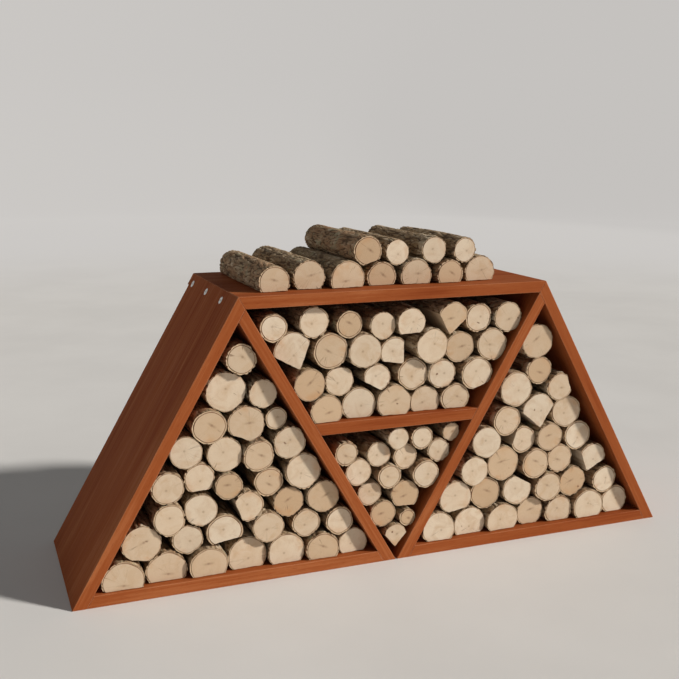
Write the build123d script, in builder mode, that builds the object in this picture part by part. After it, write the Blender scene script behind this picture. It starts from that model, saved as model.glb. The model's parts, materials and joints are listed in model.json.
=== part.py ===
from build123d import *
import os
from collections import namedtuple
from math import cos, hypot, radians, sin, sqrt, tan

# A firewood rack of three equal-sided triangles in a row, the middle one standing on its point
# and crossed by a shelf, with its load of split logs.
# Millimetres. X runs along the rack, Y from front to back, Z up from the floor.
# The origin is on the floor, midway along and midway front to back.

# ---- Sizes of the rack -------------------------------------------------------------------
TRIANGLE = 750.0        # side of each triangle, measured over the outer faces
BOARD = 27.0            # thickness of every board
BOARD_DEPTH = 398.0     # front to back
STRIP = 12.0            # thickness of the strip on the top board's rear edge
TOE_GAP = 3.0           # between the feet of the two inner sides
SHELF_HEIGHT = 327.0    # floor to the underside of the middle shelf
ARRIS = 0.9             # chamfer on every board edge

# ---- Fixings ------------------------------------------------------------------------------
DOWEL_DIAMETER = 8.0
DOWEL_LENGTH = 25.0
DOWEL_CHAMFER = 0.8
DOWEL_END_ROOM = 0.5    # bore left empty beyond each end of a dowel
FIT = 0.05              # radial clearance of a dowel or a screw in its bore
FIXINGS = 3             # dowels in each joint, and screws in each side
FRONT_MARGIN = 100.0    # front edge to the first screw
REAR_MARGIN = 30.0      # last screw to the board's rear edge

HEAD_DIAMETER = 17.0    # side screws
HEAD_HEIGHT = 2.6
HEAD_ROUND = 0.7
HEAD_CLEARANCE = 0.4    # around the head in its counterbore
HEAD_SEAT = 2.2         # depth of the counterbore
RECESS_LENGTH = 7.5     # cross recess
RECESS_WIDTH = 1.7
RECESS_DEPTH = 1.5
SHANK_DIAMETER = 5.0
SHANK_BITE = 8.0        # how far a side screw runs into the inner side, whose end is cut aslant
SHANK_POINT = 6.0
SHANK_TAPER = 18.0      # half angle of the point, in degrees
SCREW_EDGE = 8.4        # inner end of the mitre to the screws, measured down the slope
SCREW_END_ROOM = 0.5    # bore left empty past the point

STRIP_SCREWS = 5
STRIP_SCREW_MARGIN = 60.0   # end of the top board to the first strip screw
STRIP_HEAD_DIAMETER = 8.0
STRIP_HEAD_TAPER = 45.0     # half angle of the countersunk head, in degrees
STRIP_SHANK_DIAMETER = 4.0
STRIP_SHANK_LENGTH = 36.0

# ---- Firewood -----------------------------------------------------------------------------
LOG_LENGTH = 330.0
LOG_LENGTH_SPREAD = 8.0     # the longest log less the shortest
LOG_RECESS = 16.0           # front edge of the boards to the middle of the log ends
LOG_RECESS_SPREAD = 18.0
TOP_RECESS = 50.0           # the same for the pile on the top board
LOG_GAP = 1.2               # between a log and what it leans on
FLOOR_GAP = 4.0             # between the logs of a bottom course
TOP_GAP = 9.0               # the same on the top board
TOP_START = 56.0            # end of the top board to the first log on it
FAN_HALF_ANGLE = 40.0       # of a quarter log's pointed end
FAN_POINT = 0.98            # its point from the centre, as a share of the radius

# ---- Worked out from the sizes above ------------------------------------------------------
TURN = radians(60)                  # corner of an equal-sided triangle
HEIGHT = TRIANGLE * sin(TURN)
HALF_GAP = TOE_GAP / 2
FRONT = -(BOARD_DEPTH + STRIP) / 2
BOARD_BACK = FRONT + BOARD_DEPTH
BACK = BOARD_BACK + STRIP
LEVEL = BOARD / sin(TURN)           # a leaning board's thickness, measured level
LEAN = BOARD / tan(TURN)            # how far a leaning face moves sideways over one thickness
SCREW_DROP = LEAN + SCREW_EDGE      # down the outer face from the top corner
SHANK_LENGTH = BOARD + SHANK_BITE   # outer face to the point of a side screw
FIXING_PITCH = (BOARD_DEPTH - FRONT_MARGIN - REAR_MARGIN) / (FIXINGS - 1)
SCREW_ROW = [FRONT + FRONT_MARGIN + i * FIXING_PITCH for i in range(FIXINGS)]
DOWEL_ROW = [y - FIXING_PITCH / 2 for y in SCREW_ROW]
DOWEL_BORE = DOWEL_LENGTH / 2 + DOWEL_END_ROOM

os.makedirs("parts", exist_ok=True)


def finish(name, piece):
    piece.part.label = name
    export_step(piece.part, f"parts/{name}.step")


def flip(points, side):
    """The points of the left half as they are (side 1), or mirrored to the right half (side -1)."""
    return [(side * x, z) for x, z in points]


def joint_face(centre, direction, side):
    """A plane across a joint, its local X running to the back, its normal along direction."""
    (x, z), (dx, dz) = flip([centre, direction], side)
    return Plane(origin=(x, 0, z), x_dir=(0, 1, 0), z_dir=(dx, 0, dz))


# Key points of the left half, as (x, z)
corner = (-TRIANGLE / 2 - HALF_GAP, HEIGHT)                 # where outer side and top board meet
knee = (corner[0] + LEAN, HEIGHT - BOARD)                   # the inner end of that mitre
heel = (-TRIANGLE - HALF_GAP, 0)                            # outer side on the floor
toe = (-HALF_GAP, 0)                                        # inner side on the floor
apex_low = (knee[0] - LEAN, knee[1] - BOARD)                # lower end of the inner side's top cut

# Directions square to the leaning faces of the left half
down_in = (sin(TURN), -cos(TURN))
up_in = (sin(TURN), cos(TURN))
down_out = (-sin(TURN), -cos(TURN))
up_out = (-sin(TURN), cos(TURN))

SHELF_TOP = SHELF_HEIGHT + BOARD
SHELF_MIDDLE = SHELF_HEIGHT + BOARD / 2

# Each joint of the left half: the middle of its face and the direction into the butting board
JOINTS = {
    "mitre": (((corner[0] + knee[0]) / 2, HEIGHT - BOARD / 2), up_in),
    "apex": (((knee[0] + apex_low[0]) / 2, (knee[1] + apex_low[1]) / 2), down_in),
    "heel": ((heel[0] + LEVEL + LEAN / 2, BOARD / 2), down_in),
    "toe": ((toe[0] - LEVEL - LEAN / 2, BOARD / 2), down_out),
    "shelf": ((toe[0] - SHELF_MIDDLE / tan(TURN), SHELF_MIDDLE), up_in),
}
SCREW_POINT = (corner[0] - SCREW_DROP * cos(TURN), corner[1] - SCREW_DROP * sin(TURN))

BACK_FACE = Plane.XZ.offset(-BOARD_BACK)    # boards are drawn here and extruded to the front


def joint(name, side):
    return joint_face(*JOINTS[name], side)


def make_board(outline, into=(), behind=(), screws=None):
    """A board with its outline seen from the front, and blind bores for the dowels of its joints.

    into lists joints that the board butts against, whose bores run along the joint's direction.
    behind lists joints that other boards make on its face, whose bores run the other way.
    screws is "head" for the counterbored board, "point" for the board that they screw into.
    """
    with BuildPart() as piece:
        with BuildSketch(BACK_FACE):
            with BuildLine():
                Polyline(*outline, close=True)
            make_face()
        extrude(amount=BOARD_DEPTH)
        chamfer(piece.edges(), ARRIS)
        for planes, depth in ((into, DOWEL_BORE), (behind, -DOWEL_BORE)):
            for plane in planes:
                with BuildSketch(plane):
                    with Locations(*[(y, 0) for y in DOWEL_ROW]):
                        Circle(DOWEL_DIAMETER / 2 + FIT)
                extrude(amount=depth, mode=Mode.SUBTRACT)
        if screws:
            side = 1 if piece.part.center().X < 0 else -1
            outer_face = joint_face(SCREW_POINT, up_out, side)
            with BuildSketch(outer_face):
                with Locations(*[(y, 0) for y in SCREW_ROW]):
                    Circle(SHANK_DIAMETER / 2 + FIT)
            extrude(amount=-SHANK_LENGTH - SCREW_END_ROOM, mode=Mode.SUBTRACT)
            if screws == "head":
                with BuildSketch(outer_face):
                    with Locations(*[(y, 0) for y in SCREW_ROW]):
                        Circle(HEAD_DIAMETER / 2 + HEAD_CLEARANCE)
                extrude(amount=-HEAD_SEAT, mode=Mode.SUBTRACT)
    return piece


# ---- The two leaning sides and the base board of each end, the same on left and right -----
for hand, side in (("left", 1), ("right", -1)):
    outer_outline = [heel, corner, knee, (heel[0] + LEVEL, 0)]
    outer_side = make_board(
        flip(outer_outline, side),
        behind=[joint(name, side) for name in ("mitre", "apex", "heel")],
        screws="head",
    )
    finish(f"{hand}_outer_side", outer_side)

    inner_outline = [knee, toe, (toe[0] - LEVEL, 0), apex_low]
    inner_side = make_board(
        flip(inner_outline, side),
        into=[joint("apex", side)],
        behind=[joint(name, side) for name in ("toe", "shelf")],
        screws="point",
    )
    finish(f"{hand}_inner_side", inner_side)

    base_outline = [
        (heel[0] + LEVEL, 0),
        (heel[0] + LEVEL + LEAN, BOARD),
        (toe[0] - LEVEL - LEAN, BOARD),
        (toe[0] - LEVEL, 0),
    ]
    base = make_board(flip(base_outline, side), into=[joint(name, side) for name in ("heel", "toe")])
    finish(f"{hand}_base", base)

# ---- Top board, its rear strip, and the shelf between the inner sides ---------------------
top_outline = [corner, (-corner[0], HEIGHT), (-knee[0], knee[1]), knee]
plain_top = make_board(top_outline, into=[joint("mitre", 1), joint("mitre", -1)])
strip_points = [corner[0] + STRIP_SCREW_MARGIN, -corner[0] - STRIP_SCREW_MARGIN]
strip_pitch = (strip_points[1] - strip_points[0]) / (STRIP_SCREWS - 1)
strip_spots = [(strip_points[0] + i * strip_pitch, HEIGHT - BOARD / 2) for i in range(STRIP_SCREWS)]
with BuildPart() as top_board:
    add(plain_top.part)
    with BuildSketch(BACK_FACE):
        with Locations(*strip_spots):
            Circle(STRIP_SHANK_DIAMETER / 2 + FIT)
    extrude(amount=STRIP_SHANK_LENGTH, mode=Mode.SUBTRACT)
finish("top_board", top_board)

shelf_outline = [
    (toe[0] - SHELF_HEIGHT / tan(TURN), SHELF_HEIGHT),
    (toe[0] - SHELF_TOP / tan(TURN), SHELF_TOP),
    (-toe[0] + SHELF_TOP / tan(TURN), SHELF_TOP),
    (-toe[0] + SHELF_HEIGHT / tan(TURN), SHELF_HEIGHT),
]
middle_shelf = make_board(shelf_outline, into=[joint("shelf", 1), joint("shelf", -1)])
finish("middle_shelf", middle_shelf)

REAR_FACE = Plane.XZ.offset(-BACK)
with BuildPart() as rear_strip:
    with BuildSketch(REAR_FACE):
        with BuildLine():
            end = (corner[0] - LEAN, HEIGHT - BOARD)
            Polyline(corner, (-corner[0], HEIGHT), (-end[0], end[1]), end, close=True)
        make_face()
    extrude(amount=STRIP)
    chamfer(rear_strip.edges(), ARRIS)
    with Locations(Plane(origin=(0, BACK, 0), x_dir=(-1, 0, 0), z_dir=(0, 1, 0))):
        with Locations(*strip_spots):
            CounterSinkHole(STRIP_SHANK_DIAMETER / 2 + FIT, STRIP_HEAD_DIAMETER / 2 + FIT)
finish("rear_strip", rear_strip)

with BuildPart() as strip_screws:
    with BuildSketch(REAR_FACE):
        with Locations(*strip_spots):
            Circle(STRIP_SHANK_DIAMETER / 2)
    extrude(amount=STRIP_SHANK_LENGTH)
    with BuildSketch(REAR_FACE):
        with Locations(*strip_spots):
            Circle(STRIP_HEAD_DIAMETER / 2)
    head_height = (STRIP_HEAD_DIAMETER - STRIP_SHANK_DIAMETER) / 2 / tan(radians(STRIP_HEAD_TAPER))
    extrude(amount=head_height, taper=STRIP_HEAD_TAPER)
finish("strip_screws", strip_screws)

# ---- Side screws: flat round heads with a cross recess, square to the outer faces ---------
for hand, side in (("left", 1), ("right", -1)):
    outer_face = joint_face(SCREW_POINT, up_out, side)
    seat = outer_face.offset(-HEAD_SEAT)
    spots = [(y, 0) for y in SCREW_ROW]
    with BuildPart() as screws:
        with BuildSketch(seat):
            with Locations(*spots):
                Circle(HEAD_DIAMETER / 2)
        extrude(amount=HEAD_HEIGHT)
        outward = Axis(outer_face.origin, outer_face.z_dir)
        fillet(screws.faces().group_by(outward)[-1].edges(), HEAD_ROUND)
        with BuildSketch(seat):
            with Locations(*spots):
                Circle(SHANK_DIAMETER / 2)
        extrude(amount=-(SHANK_LENGTH - HEAD_SEAT - SHANK_POINT))
        with BuildSketch(outer_face.offset(-(SHANK_LENGTH - SHANK_POINT))):
            with Locations(*spots):
                Circle(SHANK_DIAMETER / 2)
        extrude(amount=-SHANK_POINT, taper=SHANK_TAPER)
        with BuildSketch(seat.offset(HEAD_HEIGHT)):
            with Locations(*spots):
                Rectangle(RECESS_LENGTH, RECESS_WIDTH)
                Rectangle(RECESS_WIDTH, RECESS_LENGTH)
        extrude(amount=-RECESS_DEPTH, mode=Mode.SUBTRACT)
    finish(f"{hand}_screws", screws)

    for name in JOINTS:
        with BuildPart() as dowels:
            with BuildSketch(joint(name, side).offset(-DOWEL_LENGTH / 2)):
                with Locations(*[(y, 0) for y in DOWEL_ROW]):
                    Circle(DOWEL_DIAMETER / 2)
            extrude(amount=DOWEL_LENGTH)
            chamfer(dowels.edges().filter_by(GeomType.CIRCLE), DOWEL_CHAMFER)
        finish(f"{hand}_{name}_dowels", dowels)

# ---- Firewood -----------------------------------------------------------------------------
# A log's section is a circle, less what its split faces cut off. Each flat is (turn, reach):
# the direction it faces in degrees, and how far it lies from the centre.
Log = namedtuple("Log", "radius flats")
Wall = namedtuple("Wall", "point normal")
Spot = namedtuple("Spot", "x z")


def whole(diameter):
    return Log(diameter / 2, [])


def half(diameter, height, turn=-90):
    """A log split once, as high as height with its flat down."""
    return Log(diameter / 2, [(turn, height - diameter / 2)])


def fan(diameter, turn=-90):
    """A log split to a wedge, with its point in the direction of turn."""
    reach = FAN_POINT * diameter / 2 * sin(radians(FAN_HALF_ANGLE))
    spread = 90 - FAN_HALF_ANGLE
    return Log(diameter / 2, [(turn - spread, reach), (turn + spread, reach)])


def reach_down(log):
    """How high a log's centre is when it lies on a floor."""
    return min([log.radius] + [reach for turn, reach in log.flats if turn == -90])


def room_to(log, thing):
    """The distance that the log's centre keeps from a wall, or from another log's centre."""
    if isinstance(thing, Wall):
        return (reach_down(log) if thing.normal == (0, 1) else log.radius) + LOG_GAP
    other, spot, gap = thing
    return log.radius + other.radius + gap


def distance(spot, thing):
    if isinstance(thing, Wall):
        (px, pz), (nx, nz) = thing
        return (spot.x - px) * nx + (spot.z - pz) * nz
    return hypot(spot.x - thing[1].x, spot.z - thing[1].z)


def push(spot, thing):
    """The direction in which a wall or a log holds off a log at spot."""
    if isinstance(thing, Wall):
        return thing.normal
    away = (spot.x - thing[1].x, spot.z - thing[1].z)
    return tuple(part / hypot(*away) for part in away)


def touching_spots(log, a, b):
    """Every centre at which the log would touch both a and b."""
    if isinstance(b, Wall):
        a, b = b, a
    ra, rb = room_to(log, a), room_to(log, b)
    if isinstance(a, Wall) and isinstance(b, Wall):
        (ax, az), (bx, bz) = a.normal, b.normal
        across = ax * bz - az * bx
        if abs(across) < 1e-6:
            return []
        fa = ra + a.point[0] * ax + a.point[1] * az
        fb = rb + b.point[0] * bx + b.point[1] * bz
        return [Spot((fa * bz - fb * az) / across, (fb * ax - fa * bx) / across)]
    centre = b[1]
    if isinstance(a, Wall):
        off = ra - distance(centre, a)
        foot = (centre.x + off * a.normal[0], centre.z + off * a.normal[1])
        along = (-a.normal[1], a.normal[0])
        square = rb**2 - off**2
    else:
        span = hypot(centre.x - a[1].x, centre.z - a[1].z)
        ahead = ((centre.x - a[1].x) / span, (centre.z - a[1].z) / span)
        off = (ra**2 - rb**2 + span**2) / (2 * span)
        foot = (a[1].x + off * ahead[0], a[1].z + off * ahead[1])
        along = (-ahead[1], ahead[0])
        square = ra**2 - off**2
    if square < 0:
        return []
    return [Spot(foot[0] + s * sqrt(square) * along[0], foot[1] + s * sqrt(square) * along[1])
            for s in (-1, 1)]


def is_steady(spot, a, b):
    """Whether the pushes of a and b can carry a log's weight between them."""
    (ax, az), (bx, bz) = push(spot, a), push(spot, b)
    across = ax * bz - az * bx
    return abs(across) > 1e-6 and -bx / across >= -1e-6 and ax / across >= -1e-6


def steady_spots(log, walls, laid, footings, others=()):
    """Every spot inside the walls where the log rests on a footing and one thing more."""
    things = footings + [wall for wall in walls if wall not in footings] + list(others)
    return [
        spot
        for i, a in enumerate(footings)
        for b in things[i + 1:]
        for spot in touching_spots(log, a, b)
        if is_steady(spot, a, b)
        and all(distance(spot, each) > room_to(log, each) - 1e-6 for each in walls + laid)
    ]


def stack(courses, walls, floor_gap, start=None, bare=0):
    """Lay logs course by course, each on the next steady spot to the right of the last.

    The first log starts at start if that is given, and the second course starts past the first
    bare logs of the first course. A log that finds no spot in its course goes to the lowest
    steady spot left at the end, or is left out. Returns [(log, spot), ...].
    """
    upward = [wall for wall in walls if wall.normal[1] > 0]
    laid, spare = [], []
    for number, course in enumerate(courses):
        footings = upward + [(*each, LOG_GAP) for each in laid]
        past = laid[bare - 1][1].x if bare and number == 1 else -TRIANGLE * 2
        last = []
        for log in course:
            obstacles = [(*each, LOG_GAP) for each in laid]
            spots = [
                spot
                for spot in steady_spots(log, walls, obstacles, footings, last)
                if spot.x > past
            ]
            if start is not None and not laid:
                spots = [Spot(start + log.radius, walls[0].point[1] + room_to(log, walls[0]))]
            if not spots:
                spare.append(log)
                continue
            spot = min(spots)
            laid.append((log, spot))
            last = [(log, spot, floor_gap if number == 0 else LOG_GAP)]
            past = spot.x
    for log in spare:
        obstacles = [(*each, LOG_GAP) for each in laid]
        spots = steady_spots(log, walls, obstacles, upward + obstacles)
        if spots:
            laid.append((log, min(spots, key=lambda spot: spot.z)))
    return laid


floor = Wall((0, BOARD), (0, 1))
under_outer = Wall(knee, down_in)
under_inner = Wall((toe[0] - LEVEL, 0), down_out)
over_left = Wall(toe, up_in)
over_right = Wall((-toe[0], 0), (-up_in[0], up_in[1]))


def flipped(wall):
    return Wall((-wall.point[0], wall.point[1]), (-wall.normal[0], wall.normal[1]))


BAYS = {
    "left": (
        [floor, under_outer, under_inner],
        [
            [half(92, 62), half(92, 68), half(86, 64), half(88, 72), half(86, 70),
             half(80, 62), half(72, 58)],
            [half(84, 78, -100), whole(68), half(80, 62, -80), whole(72), whole(68), whole(84),
             whole(68)],
            [whole(70), whole(72), half(70, 58, 200), whole(70), whole(76), whole(86)],
            [whole(72), half(70, 62), whole(62), whole(67), whole(84), whole(68)],
            [whole(70), whole(78), whole(72)],
            [whole(75), half(84, 76, -115), whole(74)],
            [whole(88), whole(64)],
            [whole(67)],
            [whole(50)],
        ],
    ),
    "right": (
        [floor, flipped(under_inner), flipped(under_outer)],
        [
            [half(85, 70), half(86, 68), half(86, 68), half(76, 70), half(78, 66), half(88, 72),
             half(78, 68)],
            [half(84, 74, -80), whole(82), half(80, 68, 60), whole(76), whole(78), whole(71)],
            [whole(73), whole(86), whole(76), whole(74), fan(76, -110), whole(80)],
            [whole(75), half(68, 60, 160), whole(71), whole(74)],
            [whole(74), fan(88, -80), whole(80)],
            [whole(84), half(70, 62, 20), whole(74)],
            [whole(68), half(64, 56, -100)],
            [whole(80)],
        ],
    ),
    "upper": (
        [Wall((0, SHELF_TOP), (0, 1)), Wall((0, knee[1]), (0, -1)), over_left, over_right],
        [
            [half(76, 62), half(80, 70), half(84, 70), half(74, 58), half(72, 60)],
            [whole(72), whole(68), half(66, 54, -120), whole(74), whole(68), half(80, 72, -70)],
            [fan(88, -70), whole(80), whole(78), fan(72, -50), whole(80), whole(72), whole(76)],
            [whole(62), whole(68), whole(60), whole(62), half(70, 58), fan(76, -100), whole(68),
             whole(70), fan(84, -75)],
        ],
    ),
    "lower": (
        [over_left, over_right, Wall((0, SHELF_HEIGHT), (0, -1))],
        [
            [fan(58)],
            [whole(64), whole(42)],
            [half(60, 54, 100), half(70, 62), whole(68)],
            [whole(64), whole(58), whole(60), whole(58)],
            [whole(56), whole(60), whole(64), whole(56), half(66, 60, 20)],
            [whole(52), whole(44)],
        ],
    ),
    "top": (
        [Wall((0, HEIGHT), (0, 1)), Wall((-corner[0], 0), (-1, 0))],
        [
            [half(74, 56), half(76, 64), half(84, 60), half(72, 54), half(78, 58), half(70, 54),
             half(80, 60)],
            [half(70, 62, -70), whole(60), whole(64), whole(60)],
        ],
    ),
}
TOP_BARE = 3                # logs of the top pile's first course with none lying on them
TIERS = {"left": 4, "right": 4, "upper": 3, "lower": 2, "top": 2}


def uneven(number, spread):
    """A shift from -spread/2 to spread/2 that differs from one log to the next."""
    golden = (sqrt(5) - 1) / 2
    return spread * ((number * golden) % 1 - 0.5)


def make_tier(name, tier):
    """One node of the firewood: a group of logs that don't touch one another."""
    with BuildPart() as logs:
        for number, log, spot, recess in tier:
            length = LOG_LENGTH + uneven(number + 3, LOG_LENGTH_SPREAD)
            near = FRONT + recess + uneven(number, LOG_RECESS_SPREAD)
            with BuildSketch(Plane.XZ.offset(-near - length)):
                with Locations((spot.x, spot.z)):
                    Circle(log.radius)
                    for turn, reach in log.flats:
                        with PolarLocations(reach + log.radius, 1, turn):
                            Rectangle(2 * log.radius, 4 * log.radius, mode=Mode.SUBTRACT)
            extrude(amount=length)
    finish(name, logs)


for bay, (walls, courses) in BAYS.items():
    on_top = bay == "top"
    if on_top:
        laid = stack(courses, walls, TOP_GAP, corner[0] + TOP_START, TOP_BARE)
    else:
        laid = stack(courses, walls, FLOOR_GAP)
    print(bay, len(laid), "logs laid of", sum(len(course) for course in courses))
    recess = TOP_RECESS if on_top else LOG_RECESS
    tiers = TIERS[bay]
    for tier in range(tiers):
        some = range(len(laid) * tier // tiers, len(laid) * (tier + 1) // tiers)
        make_tier(f"{bay}_logs_{tier + 1}", [(number, *laid[number], recess) for number in some])
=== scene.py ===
# %% [markdown]
# # A firewood rack and its load
# The rack is eight stained boards: two leaning outer sides, two leaning inner sides that meet on
# the floor, two base boards, a shelf and a mitred top. It holds more than a hundred split logs.
# The boards, screws and dowels are shown as the frame has them and only need good finishes.
# The logs come as plain prisms, so each one is made again here with bark, rings and split faces.
# %% Tools, the fixed frame and its size
import json
import math
import random

import bmesh
import bpy
from mathutils import Matrix, Vector, noise
from mathutils.bvhtree import BVHTree


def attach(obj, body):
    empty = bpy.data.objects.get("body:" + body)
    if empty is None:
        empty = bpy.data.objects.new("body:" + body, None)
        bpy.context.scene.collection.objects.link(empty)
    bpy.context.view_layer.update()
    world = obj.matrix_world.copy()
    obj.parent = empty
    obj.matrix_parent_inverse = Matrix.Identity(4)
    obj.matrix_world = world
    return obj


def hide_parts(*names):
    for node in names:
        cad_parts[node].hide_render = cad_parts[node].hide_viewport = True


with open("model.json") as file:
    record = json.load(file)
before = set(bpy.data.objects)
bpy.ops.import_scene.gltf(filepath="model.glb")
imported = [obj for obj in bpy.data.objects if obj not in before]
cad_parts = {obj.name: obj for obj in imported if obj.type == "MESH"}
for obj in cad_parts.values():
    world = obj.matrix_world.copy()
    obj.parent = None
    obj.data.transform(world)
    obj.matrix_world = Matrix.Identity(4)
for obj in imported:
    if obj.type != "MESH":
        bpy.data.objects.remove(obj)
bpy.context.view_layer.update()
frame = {"nodes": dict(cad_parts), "record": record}
body_of = {node: body
           for body, nodes in frame["record"]["behaviour"]["bodies"].items() for node in nodes}


# %% [markdown]
# ## Writing node materials shortly
# Every finish below is a chain of shader nodes. Adding nodes one by one takes many lines, so a
# small class keeps the tree and gives each kind of node one short call. A socket can be given a
# plain number, a colour or another node's output, which is how one reads a tree in the editor.
# %% A helper for node trees
class Finish:
    """A material whose nodes are added with short calls. Each call gives back its output."""

    def __init__(self, name):
        self.material = bpy.data.materials.new(name)
        self.material.use_nodes = True
        self.tree = self.material.node_tree
        self.shader = self.tree.nodes["Principled BSDF"]

    def put(self, socket, value):
        if isinstance(value, bpy.types.NodeSocket):
            self.tree.links.new(value, socket)
        elif isinstance(value, tuple) and len(value) == 3 and socket.type == "RGBA":
            socket.default_value = (*value, 1)
        else:
            socket.default_value = value

    def node(self, kind, output=0, settings=(), **inputs):
        node = self.tree.nodes.new(kind)
        for name, value in settings:
            setattr(node, name, value)
        for name, value in inputs.items():
            self.put(node.inputs[name.replace("_", " ")], value)
        return node.outputs[output]

    def math(self, operation, *values):
        node = self.tree.nodes.new("ShaderNodeMath")
        node.operation = operation
        for socket, value in zip(node.inputs, values):
            self.put(socket, value)
        return node.outputs[0]

    def vector_math(self, operation, *values, output=0):
        node = self.tree.nodes.new("ShaderNodeVectorMath")
        node.operation = operation
        for socket, value in zip(node.inputs, values):
            self.put(socket, value)
        return node.outputs[output]

    def object_place(self, turn=(0, 0, 0), scale=(1, 1, 1), shift=(0, 0, 0)):
        place = self.node("ShaderNodeTexCoord", "Object")
        return self.node("ShaderNodeMapping", Vector=place, Rotation=turn, Scale=scale,
                         Location=shift)

    def attribute(self, name, output="Vector"):
        return self.node("ShaderNodeAttribute", output, [("attribute_name", name)])

    def split(self, vector, axis):
        return self.node("ShaderNodeSeparateXYZ", axis, Vector=vector)

    def noise(self, place, scale, detail=3.0, roughness=0.5, distortion=0.0):
        return self.node("ShaderNodeTexNoise", 0, Vector=place, Scale=scale, Detail=detail,
                         Roughness=roughness, Distortion=distortion)

    def ramp(self, factor, *stops, smooth=True):
        """Colours or grey levels at places from 0 to 1 along factor."""
        out = self.node("ShaderNodeValToRGB", 0, Fac=factor)
        bands = out.node.color_ramp
        bands.interpolation = "EASE" if smooth else "LINEAR"
        while len(bands.elements) < len(stops):
            bands.elements.new(0.5)
        for element, (place, colour) in zip(bands.elements, stops):
            element.position = place
            grey = isinstance(colour, (int, float))
            element.color = (colour, colour, colour, 1) if grey else (*colour, 1)
        return out

    def blend(self, factor, low, high):
        node = self.tree.nodes.new("ShaderNodeMix")
        node.data_type = "RGBA"
        self.put(node.inputs["Factor"], factor)
        self.put(node.inputs["A"], low)
        self.put(node.inputs["B"], high)
        return node.outputs["Result"]

    def bump(self, height, depth, strength=1.0, onto=None):
        inputs = {"Height": height, "Distance": depth, "Strength": strength}
        if onto is not None:
            inputs["Normal"] = onto
        return self.node("ShaderNodeBump", **inputs)

    def finish(self, colour, roughness, normal=None, **uniform):
        self.put(self.shader.inputs["Base Color"], colour)
        self.put(self.shader.inputs["Roughness"], roughness)
        if normal is not None:
            self.put(self.shader.inputs["Normal"], normal)
        for name, value in uniform.items():
            self.shader.inputs[name.replace("_", " ")].default_value = value
        return self.material


# %% [markdown]
# ## Stained boards
# The rack is planed softwood under a red-brown stain. Its grain runs the long way of each board,
# so the pattern is turned by the board's own lean and shifted by its own amount: no two boards
# then show the same figure. Early wood takes more stain than late wood, which gives the streaks,
# and the handled edges have worn lighter.
# %% Stain colours and the board finish
STAIN_DARK = (0.225, 0.044, 0.010)
STAIN_MID = (0.315, 0.082, 0.023)
STAIN_LIGHT = (0.410, 0.135, 0.048)
STAIN_WORN = (0.560, 0.270, 0.145)
SLOPE = math.radians(60)        # lean of the four sloping boards
WORN_EDGE = 0.0022              # how far round an arris the wear reaches
BOARD_SHIFT = (0.37, 0.23, 0.61)    # how far the pattern moves on from one board to the next


def stained_board(name, lean, number):
    """Stain over grain that runs along X, once the pattern is turned down by lean."""
    wood = Finish(name)
    shift = tuple(number * step for step in BOARD_SHIFT)
    along = wood.object_place(turn=(0, lean, 0), shift=shift)

    def stretched(lengthwise, across):
        return wood.node("ShaderNodeMapping", Vector=along, Scale=(lengthwise, across, across))

    figure = wood.noise(stretched(1.6, 16), 1.0, 4, 0.55, 0.6)
    streaks = wood.noise(stretched(5, 210), 1.0, 4, 0.6)
    pores = wood.noise(stretched(60, 1300), 1.0, 2, 0.5)
    patches = wood.noise(stretched(3, 9), 1.0, 3, 0.5)
    tone = wood.math("ADD", wood.math("MULTIPLY", figure, 0.62),
                     wood.math("MULTIPLY", streaks, 0.38))
    colour = wood.ramp(tone, (0.34, STAIN_DARK), (0.50, STAIN_MID), (0.66, STAIN_LIGHT))
    colour = wood.blend(wood.ramp(patches, (0.35, 0.0), (0.75, 0.35)), colour, STAIN_MID)
    colour = wood.blend(wood.ramp(pores, (0.30, 0.55), (0.42, 0.0)), colour, STAIN_DARK)

    rounded = wood.node("ShaderNodeBevel", 0, [("samples", 6)], Radius=WORN_EDGE)
    straight = wood.node("ShaderNodeNewGeometry", "Normal")
    facing = wood.vector_math("DOT_PRODUCT", rounded, straight, output="Value")
    uneven = wood.ramp(wood.noise(stretched(14, 60), 1.0, 3, 0.6), (0.30, 0.25), (0.62, 1.0))
    edge = wood.math("MULTIPLY", wood.ramp(facing, (0.90, 1.0), (0.995, 0.0), smooth=False), uneven)
    colour = wood.blend(wood.math("MULTIPLY", edge, 0.75), colour, STAIN_WORN)

    height = wood.math("ADD", wood.math("MULTIPLY", streaks, 0.7), wood.math("MULTIPLY", pores, 0.5))
    roughness = wood.ramp(streaks, (0.3, 0.80), (0.7, 0.66))
    return wood.finish(colour, roughness, wood.bump(height, 0.0006, 0.35), Specular_IOR_Level=0.06)


# %% [markdown]
# ## Which board leans which way
# The sign of the lean says whether the grain runs down to the left or down to the right. A board
# that lies level has no lean.
# %% Each board gets its own cut of the finish
LEANS = {
    "left_outer_side": SLOPE, "right_inner_side": SLOPE,
    "right_outer_side": -SLOPE, "left_inner_side": -SLOPE,
    "left_base": 0, "right_base": 0, "middle_shelf": 0, "top_board": 0, "rear_strip": 0,
}


def clothe(node, material):
    mesh = frame["nodes"][node].data
    mesh.materials.clear()
    mesh.materials.append(material)


for number, (board, lean) in enumerate(LEANS.items()):
    clothe(board, stained_board(f"stain_{board}", lean, number + 1))
print("boards stained:", len(LEANS))


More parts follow.
